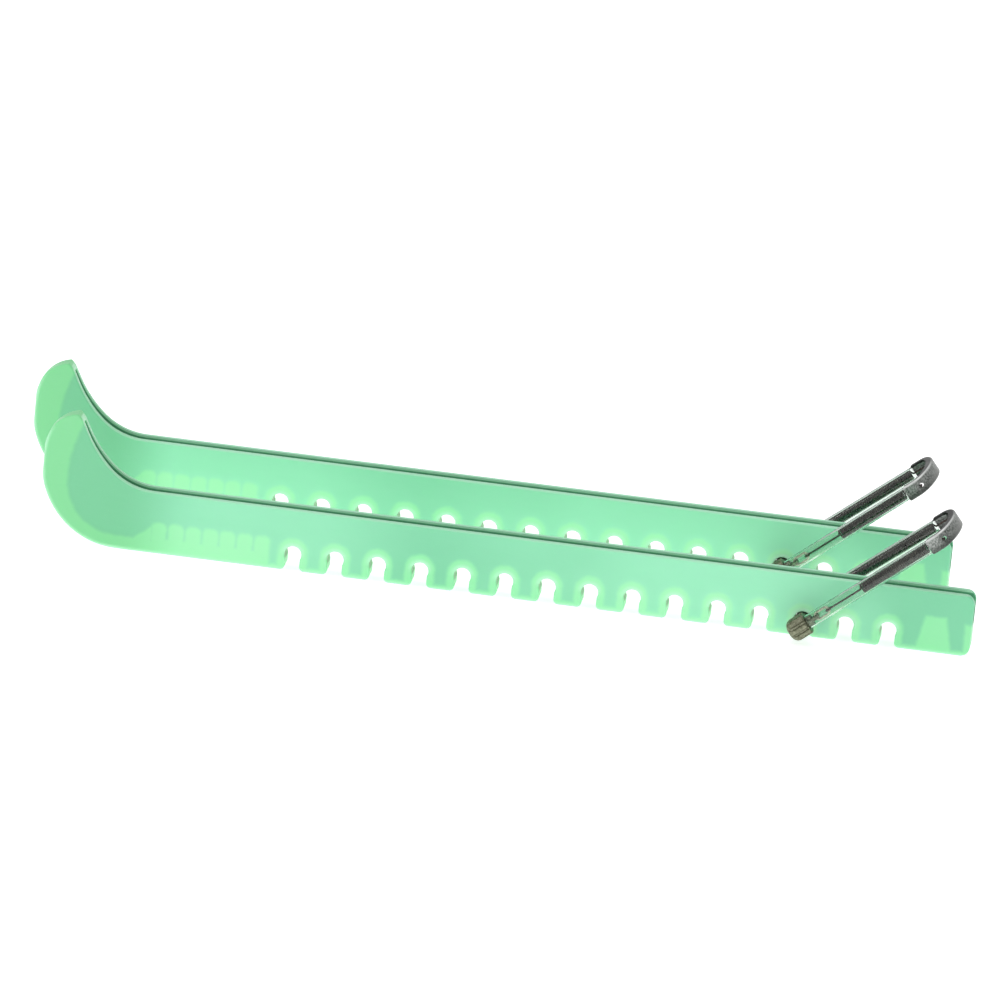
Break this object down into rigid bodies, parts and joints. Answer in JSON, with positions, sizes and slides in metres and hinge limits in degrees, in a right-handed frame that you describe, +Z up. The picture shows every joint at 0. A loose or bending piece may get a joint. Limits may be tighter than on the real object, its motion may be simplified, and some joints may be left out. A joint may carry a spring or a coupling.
{
  "type": "pair of ice skate blade guards",
  "caption": "Pair of translucent hard skate blade guards with notched bases, upturned toes and sprung loops that hook over the blade's heel.",
  "frame": {"origin": "bottom centre of the pair, on the surface that the two guards stand on", "axes": "+X from toe to heel along both guards, +Y from the left guard to the right one, +Z up"},
  "size_m": [0.3436, 0.101, 0.0491],
  "materials": {
    "guard_plastic": "translucent moulded, smooth",
    "rod_steel": "plain drawn rod",
    "ferrule_metal": "dark fluted barrel",
    "link_wire": "bright wire",
    "spring_wire": "dark coiled spring wire",
    "clear_vinyl": "clear soft tube",
    "clip_steel": "stamped, lightly grained stainless"
  },
  "bodies": {
    "left_guard": {"left_guard": "guard_plastic"},
    "left_rod": {"left_cross_rod": "rod_steel"},
    "left_loop": {"left_near_ferrule": "ferrule_metal", "left_far_ferrule": "ferrule_metal", "left_near_link": "link_wire", "left_far_link": "link_wire", "left_near_spring": "spring_wire", "left_far_spring": "spring_wire", "left_near_sleeve": "clear_vinyl", "left_far_sleeve": "clear_vinyl"},
    "left_clip": {"left_heel_clip": "clip_steel"},
    "right_guard": {"right_guard": "guard_plastic"},
    "right_rod": {"right_cross_rod": "rod_steel"},
    "right_loop": {"right_near_ferrule": "ferrule_metal", "right_far_ferrule": "ferrule_metal", "right_near_link": "link_wire", "right_far_link": "link_wire", "right_near_spring": "spring_wire", "right_far_spring": "spring_wire", "right_near_sleeve": "clear_vinyl", "right_far_sleeve": "clear_vinyl"},
    "right_clip": {"right_heel_clip": "clip_steel"}
  },
  "joints": [
    {"name": "left_rod_release", "type": "slide", "parent": "left_guard", "child": "left_rod", "axis": [0, 0, -1], "range_m": [0, 0.0105]},
    {"name": "left_loop_swing", "type": "hinge", "parent": "left_rod", "child": "left_loop", "pos_m": [0.1128, -0.0319, 0.006], "axis": [0, -1, 0], "range_deg": [-39.5, 110]},
    {"name": "left_clip_pull", "type": "slide", "parent": "left_loop", "child": "left_clip", "axis": [0.7716, 0, 0.6361], "range_m": [0, 0.012], "stiffness_N_per_m": 400, "springref_m": -0.002, "deforming": ["left_near_spring", "left_far_spring"]},
    {"name": "right_rod_release", "type": "slide", "parent": "right_guard", "child": "right_rod", "axis": [0, 0, -1], "range_m": [0, 0.0105]},
    {"name": "right_loop_swing", "type": "hinge", "parent": "right_rod", "child": "right_loop", "pos_m": [0.0992, 0.0319, 0.006], "axis": [0, -1, 0], "range_deg": [-39.5, 110]},
    {"name": "right_clip_pull", "type": "slide", "parent": "right_loop", "child": "right_clip", "axis": [0.7716, 0, 0.6361], "range_m": [0, 0.012], "stiffness_N_per_m": 400, "springref_m": -0.002, "deforming": ["right_near_spring", "right_far_spring"]},
    {"name": "pair_apart", "type": "slide", "parent": "left_guard", "child": "right_guard", "axis": [0, 1, 0], "range_m": [0, 0.06]}
  ]
}
